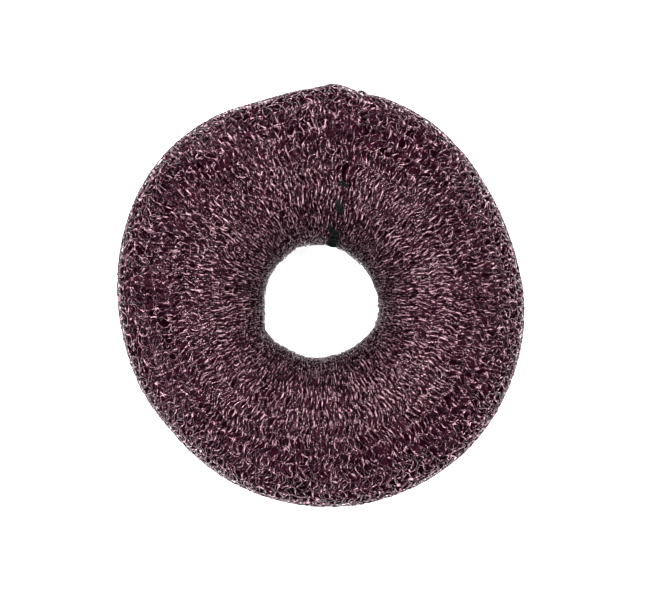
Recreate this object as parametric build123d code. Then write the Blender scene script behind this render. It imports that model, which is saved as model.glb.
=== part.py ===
from build123d import *

import os
from math import cos, radians, sin, sqrt

# Hair donut bun maker: a sheet of knitted nylon net, rolled into a log, bent into a ring and sewn end to end.
# Millimetres. The origin is on the axis of the hole, on the surface that the ring lies on. +Z is up, and the
# seam is towards +Y.

# The ring's sections, one row each, anticlockwise from just past the seam.
# columns: azimuth in degrees from +X, radius of the hole, radius of the rim, height of the section
RING_SECTIONS = [
    (95.0, 13.7, 51.6, 34.8),
    (106.0, 13.9, 50.9, 35.2),
    (118.0, 14.1, 51.8, 35.2),
    (131.0, 13.7, 52.3, 35.0),
    (148.0, 13.8, 51.9, 34.4),
    (168.0, 13.8, 50.3, 35.0),
    (190.0, 13.8, 49.0, 34.6),
    (206.0, 14.9, 48.7, 33.6),
    (222.0, 14.6, 48.3, 33.4),
    (240.0, 13.8, 48.9, 34.6),
    (260.0, 13.6, 49.5, 35.2),
    (280.0, 13.2, 50.1, 35.4),
    (300.0, 13.2, 50.4, 35.2),
    (316.0, 13.5, 50.5, 34.4),
    (336.0, 13.9, 50.0, 35.0),
    (356.0, 13.7, 49.4, 34.8),
    (376.0, 13.1, 48.4, 34.6),
    (394.0, 13.0, 48.8, 35.0),
    (408.0, 12.9, 50.0, 35.4),
    (422.0, 13.1, 51.2, 35.0),
]

# The seam, where the two ends of the roll are butted.
SEAM_AZIMUTH = 79.0
SEAM_HOLE_RADIUS = 13.4
SEAM_RIM_RADIUS = 51.9
SEAM_HEIGHT = 34.5
SEAM_GAP = 0.6
SEAM_STRAIGHT = 2.6  # how far the roll runs straight on each side of the seam

# The roll: one sheet of net wound from its free edge inwards.
NET_THICKNESS = 1.9
TURN_PITCH = 3.0
QUARTER_TURNS = 19  # 4 3/4 turns
FREE_EDGE_ANGLE = 225.0  # underneath, on the hole side
REST_DEPTH = 0.6  # how far the underside is pressed flat where the ring rests
UNDERSIDE_QUARTER = 0  # the arc that holds the lowest point of the outer turn
HOLE_SIDE_QUARTER = 3  # the arc that holds its point nearest the hole

# Closing stitches, by the angle round the section, anticlockwise from the rim side, 90 at the top.
STITCH_ANGLES = [103.0, 119.0, 143.0, 165.0, 184.0, 205.0, 243.0, 301.0, 322.0, 343.0, 4.0]
STITCH_REACH = 2.2  # from the seam to where the thread goes through the net
STITCH_CORNER = 1.0
THREAD_RADIUS = 0.25
THREAD_CLEARANCE = 0.3
NEEDLE_HOLE_RADIUS = 0.7
NEEDLE_HOLE_OVERRUN = 0.6  # past each face of the net, short of the next turn

# The knot, laid on the net over the seam, between two stitches.
KNOT_ANGLE = 154.0
KNOT_WRAPS = 4
KNOT_WRAP_STEP = 0.46  # wraps sink into each other a little
KNOT_CORE_RADIUS = 0.55
KNOT_LIFT = 0.2
TAIL_LENGTHS = {-1: 3.4, 1: 2.6}  # the side of the seam, and how far the tail stands out
TAIL_RISE = 28.0  # degrees away from the net

QUARTER = 90.0
QUARTER_STEP = TURN_PITCH / 4


def direction(angle):
    return Vector(cos(radians(angle)), sin(radians(angle)))


class RollSection:
    """The outline of the rolled sheet in one section: quarter arcs that wind inwards from the free edge.

    Across is away from the hole, and up is up. The section stands on height 0 and starts at across 0.
    Each arc meets the next where both have the same normal, so the outline has no corners. The arcs at the
    sides and those at the top and bottom have different radii, which makes the section as wide and as
    high as it is asked to be.
    """

    def __init__(self, width, height):
        difference = (width - height + 2 * QUARTER_STEP) / (2 * sqrt(2) - 2)
        side_radius = (width + 4 * QUARTER_STEP - sqrt(2) * difference) / 2
        self.radii = []
        for quarter in range(QUARTER_TURNS):
            start = side_radius if quarter % 2 else side_radius + difference
            self.radii.append(start - quarter * QUARTER_STEP)
        self.centres = [Vector(0, 0)]
        for quarter in range(1, QUARTER_TURNS):
            step = self.radii[quarter - 1] - self.radii[quarter]
            self.centres.append(self.centres[-1] + direction(self.start_angle(quarter)) * step)
        hole_side = self.centres[HOLE_SIDE_QUARTER].X - self.radii[HOLE_SIDE_QUARTER]
        underside = self.centres[UNDERSIDE_QUARTER].Y - self.radii[UNDERSIDE_QUARTER]
        self.centres = [c - Vector(hole_side, underside) for c in self.centres]

    def start_angle(self, quarter):
        return FREE_EDGE_ANGLE + quarter * QUARTER

    def point(self, quarter, angle, depth=0.0):
        return self.centres[quarter] + direction(angle) * (self.radii[quarter] - depth)

    def on_outer_turn(self, angle):
        """The point of the outermost turn whose normal has this angle."""
        quarter = int(((angle - FREE_EDGE_ANGLE) % 360.0) // QUARTER)
        return self.point(quarter, angle)

    def arc(self, quarter, depth, plane):
        start = self.start_angle(quarter)
        angles = (start, start + QUARTER / 2, start + QUARTER)
        places = [plane.from_local_coords(self.point(quarter, a, depth)) for a in angles]
        return Edge.make_three_point_arc(*places)

    def wire(self, plane):
        first, last = 0, QUARTER_TURNS - 1
        outside = [self.arc(q, 0.0, plane) for q in range(QUARTER_TURNS)]
        inside = [self.arc(q, NET_THICKNESS, plane) for q in range(QUARTER_TURNS)]
        free_edge = Edge.make_line(outside[first] @ 0, inside[first] @ 0)
        inner_edge = Edge.make_line(outside[last] @ 1, inside[last] @ 1)
        return Wire([*outside, inner_edge, *reversed(inside), free_edge])


def section_plane(azimuth, hole_radius):
    """The upright plane of a section: its X runs from the hole to the rim, and its Y is up."""
    outward = direction(azimuth)
    origin = outward * hole_radius - Vector(0, 0, REST_DEPTH)
    return Plane(origin=origin, x_dir=outward, z_dir=outward.cross(Vector(0, 0, 1)))


SEAM_PLANE = section_plane(SEAM_AZIMUTH, SEAM_HOLE_RADIUS)
SEAM_SECTION = RollSection(SEAM_RIM_RADIUS - SEAM_HOLE_RADIUS, SEAM_HEIGHT)


def seam_frame(angle):
    """A plane on the outer turn at the seam: its X runs along the ring, across the seam, its Z away from the net."""
    surface = SEAM_PLANE.from_local_coords(SEAM_SECTION.on_outer_turn(angle))
    outward = SEAM_PLANE.x_dir * cos(radians(angle)) + SEAM_PLANE.y_dir * sin(radians(angle))
    return Plane(origin=surface, x_dir=SEAM_PLANE.z_dir, z_dir=outward)


def needle_holes():
    """The holes where the closing thread goes through the outer turn, on both sides of the seam."""
    holes = []
    for angle in STITCH_ANGLES:
        bottom = seam_frame(angle).offset(-NET_THICKNESS - NEEDLE_HOLE_OVERRUN)
        for side in (-1, 1):
            hole = Solid.make_cylinder(NEEDLE_HOLE_RADIUS, NET_THICKNESS + 2 * NEEDLE_HOLE_OVERRUN)
            holes.append(bottom.location * Pos(side * STITCH_REACH, 0, 0) * hole)
    return holes


def build_rolled_net():
    ends = (SEAM_GAP / 2, SEAM_STRAIGHT)
    wires = [SEAM_SECTION.wire(SEAM_PLANE.offset(-end)) for end in ends]
    for azimuth, hole_radius, rim_radius, height in RING_SECTIONS:
        section = RollSection(rim_radius - hole_radius, height)
        wires.append(section.wire(section_plane(azimuth, hole_radius)))
    wires += [SEAM_SECTION.wire(SEAM_PLANE.offset(end)) for end in reversed(ends)]
    log = Solid.make_loft(wires)
    side = 3 * SEAM_RIM_RADIUS
    floor = Box(side, side, 2 * REST_DEPTH, align=(Align.CENTER, Align.CENTER, Align.MAX))
    return log - [floor, *needle_holes()]


def build_closing_stitch(angle):
    """One flat loop of thread: over the seam, down through both holes, and across under the outer turn."""
    frame = seam_frame(angle)
    over = THREAD_CLEARANCE + THREAD_RADIUS
    loop_height = NET_THICKNESS + 2 * over
    outline = RectangleRounded(2 * STITCH_REACH, loop_height, STITCH_CORNER).wire()
    loop_plane = Plane(
        origin=frame.origin - frame.z_dir * (NET_THICKNESS / 2),
        x_dir=frame.x_dir,
        z_dir=frame.x_dir.cross(frame.z_dir),
    )
    path = loop_plane.from_local_coords(outline)
    thread = Plane(origin=path @ 0, z_dir=path % 0) * Circle(THREAD_RADIUS)
    return sweep(thread, path=path)


def build_closing_knot():
    """A barrel knot across the seam: wraps of thread round a core, with two short tails."""
    wrap_radius = KNOT_CORE_RADIUS + THREAD_RADIUS
    frame = seam_frame(KNOT_ANGLE).offset(KNOT_LIFT + wrap_radius)
    across = Plane(origin=frame.origin, x_dir=frame.z_dir, z_dir=frame.x_dir)
    half_length = KNOT_WRAP_STEP * (KNOT_WRAPS - 1) / 2
    pieces = [across.offset(-half_length) * extrude(Circle(KNOT_CORE_RADIUS), 2 * half_length)]
    for wrap in range(KNOT_WRAPS):
        ring = Torus(KNOT_CORE_RADIUS, THREAD_RADIUS)
        pieces.append(across.offset(wrap * KNOT_WRAP_STEP - half_length) * ring)
    for side, length in TAIL_LENGTHS.items():
        along = frame.x_dir * (side * cos(radians(TAIL_RISE))) + frame.z_dir * sin(radians(TAIL_RISE))
        start = Plane(origin=frame.origin + frame.x_dir * (side * half_length), z_dir=along)
        pieces.append(start * extrude(Circle(THREAD_RADIUS), length))
        pieces.append(start.offset(length) * Sphere(THREAD_RADIUS))
    return pieces[0].fuse(*pieces[1:])


def main():
    os.makedirs("parts", exist_ok=True)
    parts = {"rolled_net": build_rolled_net(), "closing_knot": build_closing_knot()}
    for number, angle in enumerate(STITCH_ANGLES, start=1):
        parts[f"closing_stitch_{number:02}"] = build_closing_stitch(angle)
    for name, part in parts.items():
        export_step(part, f"parts/{name}.step")
        print(name, "volume", round(part.volume, 1))


main()
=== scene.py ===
import bpy
from math import atan2, cos, exp, hypot, pi, radians, sin, sqrt
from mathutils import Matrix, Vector, noise


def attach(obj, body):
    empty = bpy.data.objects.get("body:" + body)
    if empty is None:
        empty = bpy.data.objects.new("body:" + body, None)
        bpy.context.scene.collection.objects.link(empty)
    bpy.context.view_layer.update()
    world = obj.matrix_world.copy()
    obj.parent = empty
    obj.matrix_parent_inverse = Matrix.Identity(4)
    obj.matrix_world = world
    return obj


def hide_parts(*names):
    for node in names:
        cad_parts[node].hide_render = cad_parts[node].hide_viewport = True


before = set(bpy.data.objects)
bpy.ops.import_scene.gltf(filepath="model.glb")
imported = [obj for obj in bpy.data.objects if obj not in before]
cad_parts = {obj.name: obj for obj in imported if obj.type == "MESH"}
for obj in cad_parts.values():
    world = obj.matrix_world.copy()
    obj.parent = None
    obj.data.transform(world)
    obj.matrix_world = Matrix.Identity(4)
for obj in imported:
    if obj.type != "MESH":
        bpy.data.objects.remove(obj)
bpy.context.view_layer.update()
mm = 0.001
noise.seed_set(7)  # without a seed, noise_vector differs from run to run
print("frame loaded:", len(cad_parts), "nodes")


# Camera: straight above, as in the photo, with the seam at the top of the picture
camera = {
    "across": 160.2,  # mm that the picture's width shows at the ring's widest height
    "height": 17.4,  # that height above the floor, in mm
    "centre": (2.06, 0.36),  # where it looks, in mm from the axis of the hole
    "lens": 85.0,
    "sensor": 36.0,
}


def addCamera():
    data = bpy.data.cameras.new("photoCamera")
    data.lens = camera["lens"]
    data.sensor_width = camera["sensor"]
    data.clip_start = 0.01
    data.clip_end = 20.0
    eye = bpy.data.objects.new("photoCamera", data)
    away = camera["across"] * camera["lens"] / camera["sensor"]
    x, y = camera["centre"]
    eye.location = Vector((x, y, camera["height"] + away)) * mm
    bpy.context.scene.collection.objects.link(eye)
    bpy.context.scene.camera = eye


addCamera()
print("camera placed")


# The ring: a sheet of net rolled into a log and bent round. Lengths in mm, angles in degrees.
# The angle round the section is 0 at the rim, 90 on top, 180 at the hole and 270 underneath.
ring = {
    # azimuth from +X, radius of the hole, radius of the rim, height
    "sections": [
        (79.0, 13.4, 51.9, 34.5),
        (95.0, 13.7, 51.6, 34.8),
        (106.0, 13.9, 50.9, 35.2),
        (118.0, 14.1, 51.8, 35.2),
        (131.0, 13.7, 52.3, 35.0),
        (148.0, 13.8, 51.9, 34.4),
        (168.0, 13.8, 50.3, 35.0),
        (190.0, 13.8, 49.0, 34.6),
        (206.0, 14.9, 48.7, 33.6),
        (222.0, 14.6, 48.3, 33.4),
        (240.0, 13.8, 48.9, 34.6),
        (260.0, 13.6, 49.5, 35.2),
        (280.0, 13.2, 50.1, 35.4),
        (300.0, 13.2, 50.4, 35.2),
        (316.0, 13.5, 50.5, 34.4),
        (336.0, 13.9, 50.0, 35.0),
        (356.0, 13.7, 49.4, 34.8),
        (376.0, 13.1, 48.4, 34.6),
        (394.0, 13.0, 48.8, 35.0),
        (408.0, 12.9, 50.0, 35.4),
        (422.0, 13.1, 51.2, 35.0),
    ],
    "seam": 79.0,
    "freeEdge": 225.0,  # where the sheet starts, underneath on the hole side
    "pitch": 3.0,  # from one turn of the roll to the next
    "rest": 0.6,  # how far the underside is pressed flat
    "crease": (1.1, 2.1),  # how deep the net is drawn in at the seam, and how wide on each side
    # azimuth, angle round the section, depth, and how far it spreads along the ring and round the section
    "dents": [
        (147.0, 78.0, 0.9, 13.0, 14.0),
        (314.0, 96.0, 0.8, 11.0, 14.0),
        (208.0, 150.0, 0.6, 12.0, 25.0),
        (86.5, 5.0, -1.1, 4.5, 40.0),  # the gather at the seam stands out here
    ],
    "pressed": 0.68,  # how much closer the layers lie at the rim, where the net is stretched
}


def sectionAt(azimuth):
    # hole radius, rim radius and height there, on one smooth curve through the rows
    rows = ring["sections"]

    def row(i):
        lap, at = divmod(i, len(rows))
        return (rows[at][0] + 360 * lap, *rows[at][1:])

    turned = rows[0][0] + (azimuth - rows[0][0]) % 360
    start = max(i for i, r in enumerate(rows) if r[0] <= turned)
    a, b, c, d = (row(start + i) for i in (-1, 0, 1, 2))
    span = c[0] - b[0]
    t = (turned - b[0]) / span
    found = []
    for k in (1, 2, 3):
        leave = (c[k] - a[k]) / (c[0] - a[0]) * span
        arrive = (d[k] - b[k]) / (d[0] - b[0]) * span
        bend = 2 * (b[k] - c[k]) + leave + arrive
        sag = 3 * (c[k] - b[k]) - 2 * leave - arrive
        found.append(((bend * t + sag) * t + leave) * t + b[k])
    return found


def rollArcs(hole, rim, height, quarters=12):
    # centres and radii of the quarter arcs that the sheet winds in on, from its free edge
    step = ring["pitch"] / 4
    width = rim - hole
    difference = (width - height + 2 * step) / (2 * sqrt(2) - 2)
    side = (width + 4 * step - sqrt(2) * difference) / 2
    arcs = []
    x = y = 0.0
    for quarter in range(quarters):
        radius = (side if quarter % 2 else side + difference) - quarter * step
        if arcs:
            turn = radians(ring["freeEdge"] + 90 * quarter)
            change = arcs[-1][2] - radius
            x += change * cos(turn)
            y += change * sin(turn)
        arcs.append((x, y, radius))
    left = hole - (arcs[3][0] - arcs[3][2])
    low = arcs[0][1] - arcs[0][2] + ring["rest"]
    return [(x + left, y - low, radius) for x, y, radius in arcs]


arcsByDegree = [rollArcs(*sectionAt(degree)) for degree in range(361)]


def fromTo(a, b):
    # the short way from one azimuth to another
    return (b - a + 180) % 360 - 180


def drawnIn(azimuth, angle):
    # how far the net sinks there, at the seam and at the dents
    depth, width = ring["crease"]
    off = radians(fromTo(ring["seam"], azimuth)) * 32 / width
    sunk = depth * exp(-off * off) * (1 - 0.7 * max(cos(radians(angle)), 0.0) ** 2)
    for dentAzimuth, dentAngle, dentDepth, spread, spreadRound in ring["dents"]:
        a = fromTo(dentAzimuth, azimuth) / spread
        b = fromTo(dentAngle, angle) / spreadRound
        if abs(a) < 3 and abs(b) < 3:
            sunk += dentDepth * exp(-a * a - b * b)
    return sunk


def onRoll(azimuth, angle, lift):
    # a point of the rolled sheet, in metres: lift is away from the outer face of that turn, in mm
    azimuth %= 360
    angle = max(angle, ring["freeEdge"])
    lift *= 1 - ring["pressed"] * max(cos(radians(angle)), 0.0) ** 2
    quarter = min(int((angle - ring["freeEdge"]) / 90), 11)
    degree = int(azimuth)
    share = azimuth - degree
    near, far = arcsByDegree[degree][quarter], arcsByDegree[degree + 1][quarter]
    x, y, radius = (p + (q - p) * share for p, q in zip(near, far))
    out = radius + lift - drawnIn(azimuth, angle)
    turn = radians(angle)
    reach = x + out * cos(turn)
    up = y + out * sin(turn)
    if up < 0.5:  # the soft loops are pressed together on the floor
        up = 0.14 + 0.36 * exp((up - 0.5) / 0.8)
    return Vector((reach * cos(radians(azimuth)), reach * sin(radians(azimuth)), up)) * mm


# Helpers for the bpy.ops way of working
def clearSelection():
    if bpy.context.object and bpy.context.object.mode != "OBJECT":
        bpy.ops.object.mode_set(mode="OBJECT")
    bpy.ops.object.select_all(action="DESELECT")


def pick(piece):
    clearSelection()
    piece.select_set(True)
    bpy.context.view_layer.objects.active = piece
    return piece


def repeat(piece, count, offset, merge):
    # an array modifier, applied
    pick(piece)
    bpy.ops.object.modifier_add(type="ARRAY")
    array = piece.modifiers[-1]
    array.count = count
    array.use_relative_offset = False
    array.use_constant_offset = True
    array.constant_offset_displace = offset
    array.use_merge_vertices = merge
    array.merge_threshold = 0.01
    bpy.ops.object.modifier_apply(modifier=array.name)


def makeTube(piece, diameter):
    # turns the chains of edges of a mesh into closed thread, three-sided because there is so much of it
    clearSelection()
    bpy.ops.mesh.primitive_circle_add(vertices=3, radius=diameter / 2 * mm)
    bpy.ops.object.convert(target="CURVE")
    profile = bpy.context.object
    pick(piece)
    bpy.ops.object.convert(target="CURVE")
    piece = bpy.context.object
    piece.data.bevel_mode = "OBJECT"
    piece.data.bevel_object = profile
    piece.data.use_fill_caps = True
    bpy.ops.object.convert(target="MESH")
    bpy.ops.object.shade_smooth()
    piece = bpy.context.object
    bpy.data.objects.remove(profile)
    return piece


# Materials
def srgb(code):
    parts = [int(code[i:i + 2], 16) / 255 for i in (1, 3, 5)]
    linear = [c / 12.92 if c <= 0.04045 else ((c + 0.055) / 1.055) ** 2.4 for c in parts]
    return (*linear, 1.0)


def addNode(tree, kind, inputs={}, **settings):
    # inputs are values, or sockets of other nodes to link from
    node = tree.nodes.new("ShaderNode" + kind)
    for name, value in settings.items():
        setattr(node, name, value)
    for name, value in inputs.items():
        if isinstance(value, bpy.types.NodeSocket):
            tree.links.new(value, node.inputs[name])
        else:
            node.inputs[name].default_value = value
    return node


def newMaterial(name):
    material = bpy.data.materials.new(name)
    material.use_nodes = True
    material.node_tree.nodes.clear()
    return material, material.node_tree


def setStops(ramp, stops, light=1.0):
    elements = ramp.color_ramp.elements
    stops = list(stops)
    while len(elements) < len(stops):
        elements.new(0.5)
    for element, (place, code) in zip(elements, stops):
        element.position = place
        element.color = (*(c * light for c in srgb(code)[:3]), 1.0)


# The ramp from dark through middle to light is painted glints: the pale pink light stop stands where crimped
# thread would catch the light
nylonLook = {
    "dark": "#0B0106",
    "middle": "#2A0E1A",
    "light": "#8A6C75",
    "stops": (0.41, 0.53, 0.67),
    "glint": "#FFD6E0",
    "roughness": 0.12,
    "paintedPatch": 0.31,  # mm across one patch of the painted glints and dark along the thread
    "gloss": 0.75,
    "nick": 0.35,  # mm, the little unevenness of the thread
    "rim": (0.55, 0.4),  # painted light: how much brighter the colour is made towards the rim, where it is seen aslant, and how much less glossy it is there
}


def nylonMonofilament(name, look, light=1.0):
    # Nylon monofilament, drawn fine and crimped by knitting: plum and glossy. It is a little see-through, so
    # a leg of a loop would either light up all along or stay a deep, strongly coloured dark; here that is
    # painted: a noise streaked along the wales takes the colour from deep dark plum to pale pink painted
    # glints
    material, tree = newMaterial(name)
    place = addNode(tree, "Attribute", attribute_name="weave").outputs["Vector"]
    fine = 1 / (look["paintedPatch"] * mm)
    patches = addNode(tree, "TexNoise", {"Vector": place, "Scale": fine, "Detail": 3.0})
    ramp = addNode(tree, "ValToRGB", {"Fac": patches.outputs["Fac"]})
    setStops(ramp, zip(look["stops"], (look["dark"], look["middle"], look["light"])), light)
    # painted shade near the hole and painted light towards the rim scale the colour, and the gloss with them
    paintedHoleShade = addNode(tree, "Attribute", attribute_name="paintedHoleShade").outputs["Fac"]
    rim = addNode(tree, "Attribute", attribute_name="rim").outputs["Fac"]
    brighter, duller = look["rim"]
    share = addNode(tree, "Math", {0: rim, 1: brighter, 2: paintedHoleShade}, operation="MULTIPLY_ADD").outputs[0]
    lit = addNode(tree, "VectorMath", {0: ramp.outputs["Color"], "Scale": share}, operation="SCALE")
    left = addNode(tree, "Math", {0: rim, 1: -duller, 2: paintedHoleShade}, operation="MULTIPLY_ADD").outputs[0]
    gloss = addNode(tree, "Math", {0: left, 1: look["gloss"] * light}, operation="MULTIPLY")
    nicks = addNode(tree, "TexNoise", {"Vector": place, "Scale": 1 / (look["nick"] * mm), "Detail": 2.0})
    bump = addNode(tree, "Bump", {"Height": nicks.outputs["Fac"], "Strength": 0.3, "Distance": 0.05 * mm})
    shader = addNode(tree, "BsdfPrincipled", {
        "Base Color": lit.outputs["Vector"],
        "Roughness": look["roughness"],
        "IOR": 1.6,
        "Specular IOR Level": gloss.outputs["Value"],
        "Specular Tint": srgb(look["glint"]),
        "Normal": bump.outputs["Normal"],
    })
    addNode(tree, "OutputMaterial", {"Surface": shader.outputs["BSDF"]})
    return material


# light: the painted glints on the fibre
sewingLook = {"dark": "#010202", "light": "#101A17", "roughness": 0.6, "fibre": 0.5}


def spunPolyesterThread(look):
    # Sewing thread of spun polyester: near black, with fine fibre on its plies; its soft shine is painted,
    # as the lighter patches of the fibre noise are painted glints
    material, tree = newMaterial("spunPolyesterThread")
    place = addNode(tree, "TexCoord").outputs["Object"]
    fibre = addNode(tree, "TexNoise", {"Vector": place, "Scale": 1 / (look["fibre"] * mm), "Detail": 4.0})
    ramp = addNode(tree, "ValToRGB", {"Fac": fibre.outputs["Fac"]})
    setStops(ramp, [(0.45, look["dark"]), (0.8, look["light"])])
    bump = addNode(tree, "Bump", {"Height": fibre.outputs["Fac"], "Strength": 0.4, "Distance": 0.05 * mm})
    shader = addNode(tree, "BsdfPrincipled", {
        "Base Color": ramp.outputs["Color"],
        "Roughness": look["roughness"],
        "IOR": 1.54,
        "Specular IOR Level": 0.02,
        "Normal": bump.outputs["Normal"],
    })
    addNode(tree, "OutputMaterial", {"Surface": shader.outputs["BSDF"]})
    return material


# how the knitting lies, and where the painted glints, the painted shade and the painted light go on it, in
# mm
weave = {
    "roll": (32.6, 17.4),  # the middle of the roll, from the axis and up
    "round": 25.0,  # the pattern is measured at this radius round the ring
    "over": 19.0,  # and at this radius round the section
    "stretch": 5.5,  # how much longer the painted glints and dark are along a wale than across it
    "hole": (13.5, 8.0, 0.45),  # painted shade: loops are crowded from here, as far as this, and their colour and gloss get this much light
    "rim": (33.0, 10.0),  # the ring turns away from here on, and this far; the painted light towards the rim follows it
}


def markWeave(piece):
    # where each vertex is round the ring and along its wale, for the painted glints, and how much painted
    # shade near the hole and painted light towards the rim it gets
    centre, up = (size * mm for size in weave["roll"])
    hole, wide, least = weave["hole"]
    shoulder, slope = weave["rim"]
    places = []
    paintedHoleShade = []
    rim = []
    for vertex in piece.data.vertices:
        x, y, z = vertex.co
        reach = hypot(x, y)
        turn = atan2(z - up, reach - centre)
        around = weave["round"] * mm / reach
        places += [x * around, y * around, weave["over"] * mm * turn / weave["stretch"]]
        paintedHoleShade.append(least + (1 - least) * min(max((reach / mm - hole) / wide, 0.0), 1.0))
        rim.append(min(max((reach / mm - shoulder) / slope, 0.0), 1.0))
    piece.data.attributes.new("weave", "FLOAT_VECTOR", "POINT").data.foreach_set("vector", places)
    piece.data.attributes.new("paintedHoleShade", "FLOAT", "POINT").data.foreach_set("value", paintedHoleShade)
    piece.data.attributes.new("rim", "FLOAT", "POINT").data.foreach_set("value", rim)


def dress(piece, material):
    piece.data.materials.clear()
    piece.data.materials.append(material)
    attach(piece, "root")


# One loop of the knitting, flat: a thread that comes in at the foot, goes up one leg, over the head and
# down the other leg. Across in wales, along in courses, lift in mm.
loop = {
    # across, along, lift, and the way the thread runs there
    "points": [
        (0.00, -0.62, 0.10, (0.18, 0.0)),
        (0.30, -0.34, -0.20, (-0.02, 0.13)),
        (0.20, 0.12, 0.20, (0.0, 0.18)),
        (0.50, 0.64, 0.10, (0.17, 0.0)),
        (0.80, 0.12, 0.20, (0.0, -0.18)),
        (0.70, -0.34, -0.20, (-0.02, -0.13)),
        (1.00, -0.62, 0.10, (0.18, 0.0)),
    ],
}

knit = {
    "wales": 72,
    "courses": 40,  # in one turn of the roll
    "stretch": 0.2,  # how much taller the loops are at the rim, and shorter at the hole
    "zigzag": 0.2,  # how far each second course leans the other way, in wales
    "tallest": 0.46,  # share of the turn, from the free edge, where the loops are tallest
    # azimuth and spread of the part that is most tangled, and how much more
    "tangled": (140.0, 38.0, 1.4),
}

# The layers of net that show, each lying deeper, more tangled and darker than the one over it, with painted
# shade: its depth and the size of its thread in mm, how far it is tangled, in wales, and how much painted
# light its colour and gloss keep
face = {"depth": 0.35, "thread": 0.21, "tangle": 0.18, "seed": 3.1, "light": 1.0}
back = {"depth": 0.7, "thread": 0.2, "tangle": 0.3, "seed": 17.7, "light": 0.6}
second = {"depth": 1.05, "thread": 0.2, "tangle": 0.36, "seed": 29.3, "light": 0.35}
third = {"depth": 1.45, "thread": 0.2, "tangle": 0.4, "seed": 41.9, "light": 0.2}
# first and last course of each sheet, and the edges in a sixth of its loop
layers = {
    "netFaceUnder": {**face, "courses": (0, 20), "steps": 2},
    "netFaceTop": {**face, "courses": (20, 44), "steps": 2},
    "netBackUnder": {**back, "courses": (0, 20), "steps": 1},
    "netBackTop": {**back, "courses": (20, 44), "steps": 2},
    "netSecondUnder": {**second, "courses": (0, 20), "steps": 1},
    "netSecondTop": {**second, "courses": (20, 44), "steps": 2},
    "netThirdTop": {**third, "courses": (20, 44), "steps": 2},
}

# where the wales lean off the straight way from hole to rim: azimuth, spread, and degrees at the rim
# and at the hole
leans = [
    (205.0, 24.0, 9.0, -5.0),
    (20.0, 30.0, -4.0, 2.0),
    (58.0, 15.0, -7.0, 7.0),
]


def flatLoop(steps):
    clearSelection()
    bpy.ops.curve.primitive_bezier_curve_add()
    curve = bpy.context.object
    points = curve.data.splines[0].bezier_points
    points.add(len(loop["points"]) - len(points))
    for point, (across, along, lift, way) in zip(points, loop["points"]):
        place = Vector((across, along, lift))
        run = Vector((*way, 0.0))
        point.handle_left_type = point.handle_right_type = "FREE"
        point.co = place
        point.handle_left = place - run
        point.handle_right = place + run
    curve.data.resolution_u = steps
    bpy.ops.object.convert(target="MESH")
    return bpy.context.object


def leanAt(azimuth, angle):
    out = cos(radians(angle))  # 0 on top of the ring, 1 at the rim, -1 at the hole
    turn = 0.0
    for centre, spread, atRim, atHole in leans:
        away = fromTo(centre, azimuth) / spread
        turn += exp(-away * away) * (atRim * max(out, 0.0) + atHole * max(-out, 0.0))
    return turn


def knitPlace(wale, course, lift, layer):
    # noise that changes over a few loops makes the net uneven, noise within a loop crimps its thread
    seed = layer["seed"]
    drift = noise.noise_vector(Vector((wale * 0.25, course * 0.25, seed)))
    crimp = noise.noise_vector(Vector((wale * 1.9, course * 1.9, seed + 50)))
    azimuth, spread, more = knit["tangled"]
    away = fromTo(azimuth, ring["seam"] + 360 * wale / knit["wales"]) / spread
    tangle = layer["tangle"] * (1 + more * exp(-away * away))
    along = course + tangle * (1.7 * drift.y + 0.9 * crimp.y)
    share = along / knit["courses"]
    tallest = 2 * pi * knit["tallest"]
    wave = knit["stretch"] * (sin(2 * pi * share - tallest) + sin(tallest)) / (2 * pi)
    angle = ring["freeEdge"] + 360 * (share + wave)
    # at the rim each second row is shifted, so the loops make six-sided cells; further in they lean
    across = wale + tangle * (1.7 * drift.x + 1.0 * crimp.x)
    across += knit["zigzag"] * sin(pi * (course + 0.5 * max(cos(radians(angle)), 0.0)) + 1.5 * drift.z)
    across = min(max(across, 0.02), knit["wales"] - 0.02)
    azimuth = ring["seam"] + 360 * across / knit["wales"]
    edge = min(across, knit["wales"] - across)
    azimuth += leanAt(azimuth, angle) * min(edge / 4, 1.0)
    return onRoll(azimuth, angle, lift - layer["depth"] + 0.6 * crimp.z)


def makeNet(name, layer):
    piece = flatLoop(layer["steps"])
    piece.name = name
    first, last = layer["courses"]
    repeat(piece, knit["wales"], (1, 0, 0), True)
    repeat(piece, last - first, (0, 1, 0), False)
    for vertex in piece.data.vertices:
        wale, course, lift = vertex.co
        vertex.co = knitPlace(wale, course + first, lift, layer)
    piece = makeTube(piece, layer["thread"])
    piece.name = name
    markWeave(piece)
    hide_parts("rolled_net")
    return piece


# lit and painted-shade copies of one nylon, one for each layer's light
nylons = {
    1.0: nylonMonofilament("nylonMonofilament", nylonLook),
    0.6: nylonMonofilament("nylonMonofilamentBackPaintedShade", nylonLook, 0.6),
    0.35: nylonMonofilament("nylonMonofilamentShaded", nylonLook, 0.35),
    0.2: nylonMonofilament("nylonMonofilamentDeepPaintedShade", nylonLook, 0.2),
}
for name, layer in layers.items():
    net = makeNet(name, layer)
    dress(net, nylons[layer["light"]])
    print(name, "faces", len(net.data.polygons))


# The turns of the roll inside, which show only as a dark mass between the threads: painted near-black shade,
# where the real net is the same plum nylon
innerRoll = {
    "depth": 2.0,  # mm below the outer face of the net
    "wavy": 0.4,  # mm
    "reach": 0.032,  # m, of the ring that it starts as
    "around": 180,
    "round": 64,
}


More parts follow.
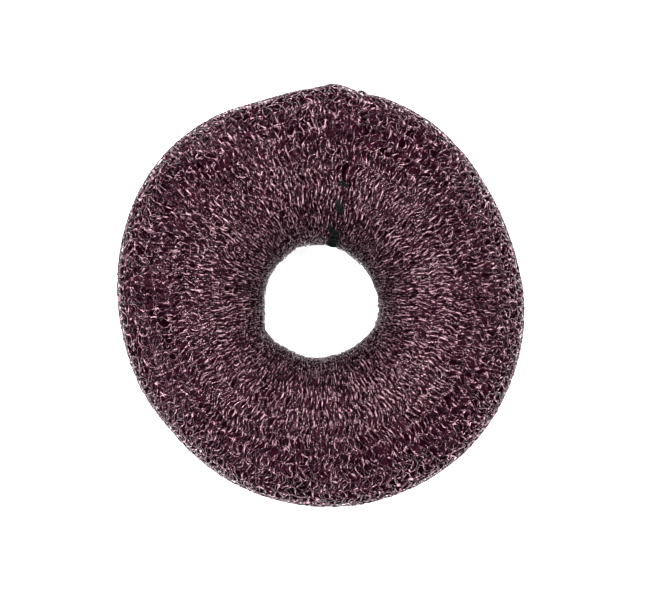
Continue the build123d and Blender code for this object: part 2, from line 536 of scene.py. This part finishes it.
def makeInnerRoll():
    clearSelection()
    bpy.ops.mesh.primitive_torus_add(
        major_segments=innerRoll["around"],
        minor_segments=innerRoll["round"],
        major_radius=innerRoll["reach"],
        minor_radius=0.014,
    )
    piece = bpy.context.object
    piece.name = "innerRoll"
    for vertex in piece.data.vertices:
        flat = Vector((vertex.co.x, vertex.co.y))
        azimuth = Vector((1, 0)).angle_signed(flat) * -180 / pi
        section = Vector((flat.length - innerRoll["reach"], vertex.co.z))
        angle = Vector((1, 0)).angle_signed(section) * -180 / pi
        turned = (angle - ring["freeEdge"]) % 360
        # it lies one turn deeper where the sheet's free edge covers the end of its first turn
        deeper = ring["pitch"] * max(1 - turned / 50, 0.0) ** 2
        wave = noise.noise(vertex.co * 160)
        lift = innerRoll["wavy"] * wave - innerRoll["depth"] - deeper
        vertex.co = onRoll(azimuth, ring["freeEdge"] + turned, lift)
    bpy.ops.object.shade_smooth()
    markWeave(piece)
    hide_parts("rolled_net")
    return piece


# painted shade: near-black colours stand in for the shade deep inside the roll
rollLook = {
    "dark": "#050001",
    "middle": "#0E0207",
    "light": "#1C070E",
    "stops": (0.34, 0.5, 0.66),
    "glint": "#FFCFDE",
    "roughness": 0.9,
    "paintedPatch": 1.2,
    "gloss": 0.0,
    "nick": 0.35,
    "rim": (0.0, 0.0),
}
inner = makeInnerRoll()
dress(inner, nylonMonofilament("nylonNetDeepInTheRollPaintedShade", rollLook))
print("inner roll done")


# Closing stitches: dark thread whipped over the seam, and its knot
stitches = {
    # angle round the section, reach to each side of the seam, spread along it, wraps, and slant
    "places": [
        (103.0, 1.1, 1.2, 5, 0.2),
        (119.0, 0.8, 2.6, 8, 0.8),
        (143.0, 1.5, 2.6, 9, 0.5),
        (165.0, 1.9, 4.4, 13, -0.4),
        (184.0, 1.7, 3.4, 9, 0.3),
        (205.0, 1.3, 2.0, 6, -0.3),
        (243.0, 1.2, 2.0, 6, 0.2),
        (301.0, 1.3, 1.8, 5, 0.4),
        (322.0, 1.1, 2.2, 6, -0.2),
        (343.0, 1.2, 1.8, 5, 0.3),
        (4.0, 1.1, 2.0, 6, -0.3),
    ],
    "over": 0.9,  # mm above the net
    "under": 2.2,  # mm below it
    "ply": 0.2,  # mm thick
    "plies": 2,
    "pitch": 1.3,  # mm in which the plies go round once
}

knot = {
    "angle": 154.0,  # round the section, as for the stitches
    "wraps": 5,
    "step": 0.42,  # mm from wrap to wrap
    "radius": 0.6,
    "lift": 0.9,  # mm above the net
    "tails": (3.4, 2.6),
}


def seamFrame(angle):
    # a point of the seam, the way across it, the way along it and the way out of the net
    here = onRoll(ring["seam"], ring["freeEdge"] + (angle - ring["freeEdge"]) % 360, 0.0)
    turn, azimuth = radians(angle), radians(ring["seam"])
    outward = Vector((cos(azimuth), sin(azimuth), 0.0))
    out = outward * cos(turn) + Vector((0, 0, 1)) * sin(turn)
    along = Vector((0, 0, 1)) * cos(turn) - outward * sin(turn)
    return here, Vector((sin(azimuth), -cos(azimuth), 0.0)), along, out


def smoothLine(points, spacing):
    # a smooth line through the points, as evenly spaced ones
    ends = [2 * points[0] - points[1], *points, 2 * points[-1] - points[-2]]
    line = []
    for a, b, c, d in zip(ends, ends[1:], ends[2:], ends[3:]):
        steps = max(int((c - b).length / spacing), 1)
        for i in range(steps):
            t = i / steps
            line.append(0.5 * (2 * b + (c - a) * t + (2 * a - 5 * b + 4 * c - d) * t ** 2
                               + (3 * b - a - 3 * c + d) * t ** 3))
    return [*line, points[-1]]


def plyLines(points, thread, spacing=0.0002):
    # the plies of a twisted thread, which wind round its line
    line = smoothLine(points, spacing)
    side = (line[1] - line[0]).orthogonal().normalized()
    plies = [[] for _ in range(thread["plies"])]
    twist = 0.0
    for i, place in enumerate(line):
        ahead = (line[min(i + 1, len(line) - 1)] - line[max(i - 1, 0)]).normalized()
        side = (side - ahead * side.dot(ahead)).normalized()
        other = ahead.cross(side)
        if i:
            twist += 2 * pi * (place - line[i - 1]).length / (thread["pitch"] * mm)
        for ply, found in enumerate(plies):
            at = twist + 2 * pi * ply / thread["plies"]
            found.append(place + (side * cos(at) + other * sin(at)) * thread["ply"] * 0.48 * mm)
    return plies


def twistedThread(name, paths, thread):
    curve = bpy.data.curves.new(name, "CURVE")
    curve.dimensions = "3D"
    for path in paths:
        for ply in plyLines(path, thread):
            spline = curve.splines.new("POLY")
            spline.points.add(len(ply) - 1)
            for point, place in zip(spline.points, ply):
                point.co = (*place, 1.0)
    curve.bevel_depth = thread["ply"] / 2 * mm
    curve.bevel_resolution = 1
    curve.use_fill_caps = True
    piece = bpy.data.objects.new(name, curve)
    bpy.context.scene.collection.objects.link(piece)
    pick(piece)
    bpy.ops.object.convert(target="MESH")
    bpy.ops.object.shade_smooth()
    return bpy.context.object


def stitchPath(number, angle, reach, spread, wraps, slant):
    # whipped round and round through the net on both sides, unevenly
    here, across, along, out = seamFrame(angle)
    over = stitches["over"] * (1 - 0.7 * max(cos(radians(angle)), 0.0) ** 2)  # drawn in at the rim
    middle = (over - stitches["under"]) / 2
    half = (over + stitches["under"]) / 2
    points = []
    for i in range(wraps * 10 + 1):
        turn = 2 * pi * i / 10
        uneven = noise.noise_vector(Vector((number * 3.7, i * 0.11, 5.0)))
        wide = reach * (1 + 0.7 * uneven.x) * sin(turn)
        slide = spread * (i / (wraps * 10) - 0.5) + 0.7 * uneven.y + slant * wide
        rise = middle + half * cos(turn) * (1 + 0.15 * uneven.z)
        points.append(here + (across * wide + along * slide + out * rise) * mm)
    return points


def knotPaths():
    here, across, along, out = seamFrame(knot["angle"])
    centre = here + out * knot["lift"] * mm
    reach = knot["step"] * knot["wraps"] / 2
    wraps = []
    for i in range(knot["wraps"] * 10 + 1):
        turn = 2 * pi * i / 10
        slide = knot["step"] * i / 10 - reach
        wraps.append(centre + (across * slide + (along * cos(turn) + out * sin(turn)) * knot["radius"]) * mm)
    tails = []
    for side, length in zip((-1, 1), knot["tails"]):
        start = centre + across * side * reach * mm
        bends = ((0.0, 0.0, 0.0), (0.35, 0.1, 0.12), (0.7, 0.3, 0.1), (1.0, 0.32, 0.35))
        tails.append([centre] + [start + (across * side * a + along * b * side + out * c) * length * mm
                                 for a, b, c in bends])
    return [wraps, *tails]


sewn = spunPolyesterThread(sewingLook)
paths = [stitchPath(number, *place) for number, place in enumerate(stitches["places"])]
sewing = twistedThread("closingStitches", paths, stitches)
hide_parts(*[f"closing_stitch_{number:02}" for number in range(1, 12)])
dress(sewing, sewn)
tied = twistedThread("closingKnotThread", knotPaths(), stitches)
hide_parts("closing_knot")
dress(tied, sewn)
print("sewing done, faces", len(sewing.data.polygons) + len(tied.data.polygons))


# Floor and light
studio = {
    "floor": "#DCDCDC",
    "sky": 0.12,  # strength of the even light from all round
    "lamps": 6,  # in a circle above, so that no shadow is dark
    "circle": (0.34, 0.74),  # radius and height of that circle, in m
    "size": 0.1,  # in m
    "power": 7.5,  # of each lamp, in W, as a mean
    "key": (130.0, 0.45),  # the side that the lamps are stronger on, and how much
}


def addStudio():
    clearSelection()
    bpy.ops.mesh.primitive_plane_add(size=6.0)
    floor = bpy.context.object
    floor.name = "floor"
    material, tree = newMaterial("mattPaper")
    shader = addNode(tree, "BsdfPrincipled", {"Base Color": srgb(studio["floor"]), "Roughness": 0.9})
    addNode(tree, "OutputMaterial", {"Surface": shader.outputs["BSDF"]})
    floor.data.materials.append(material)
    world = bpy.data.worlds.new("softbox")
    world.use_nodes = True
    background = world.node_tree.nodes["Background"]
    background.inputs["Color"].default_value = (1.0, 1.0, 1.0, 1.0)
    background.inputs["Strength"].default_value = studio["sky"]
    bpy.context.scene.world = world
    bpy.context.scene.view_settings.view_transform = "Standard"  # plain white paper stays white
    radius, height = studio["circle"]
    for number in range(studio["lamps"]):
        turn = 2 * pi * (number + 0.35) / studio["lamps"]
        data = bpy.data.lights.new(f"lamp{number}", "AREA")
        data.shape = "DISK"
        data.size = studio["size"]
        data.energy = studio["power"] * (1 + studio["key"][1] * cos(turn - radians(studio["key"][0])))
        lamp = bpy.data.objects.new(f"lamp{number}", data)
        lamp.location = (radius * cos(turn), radius * sin(turn), height)
        lamp.rotation_euler = (-lamp.location).to_track_quat("-Z", "Y").to_euler()
        bpy.context.scene.collection.objects.link(lamp)


addStudio()
print("studio done")
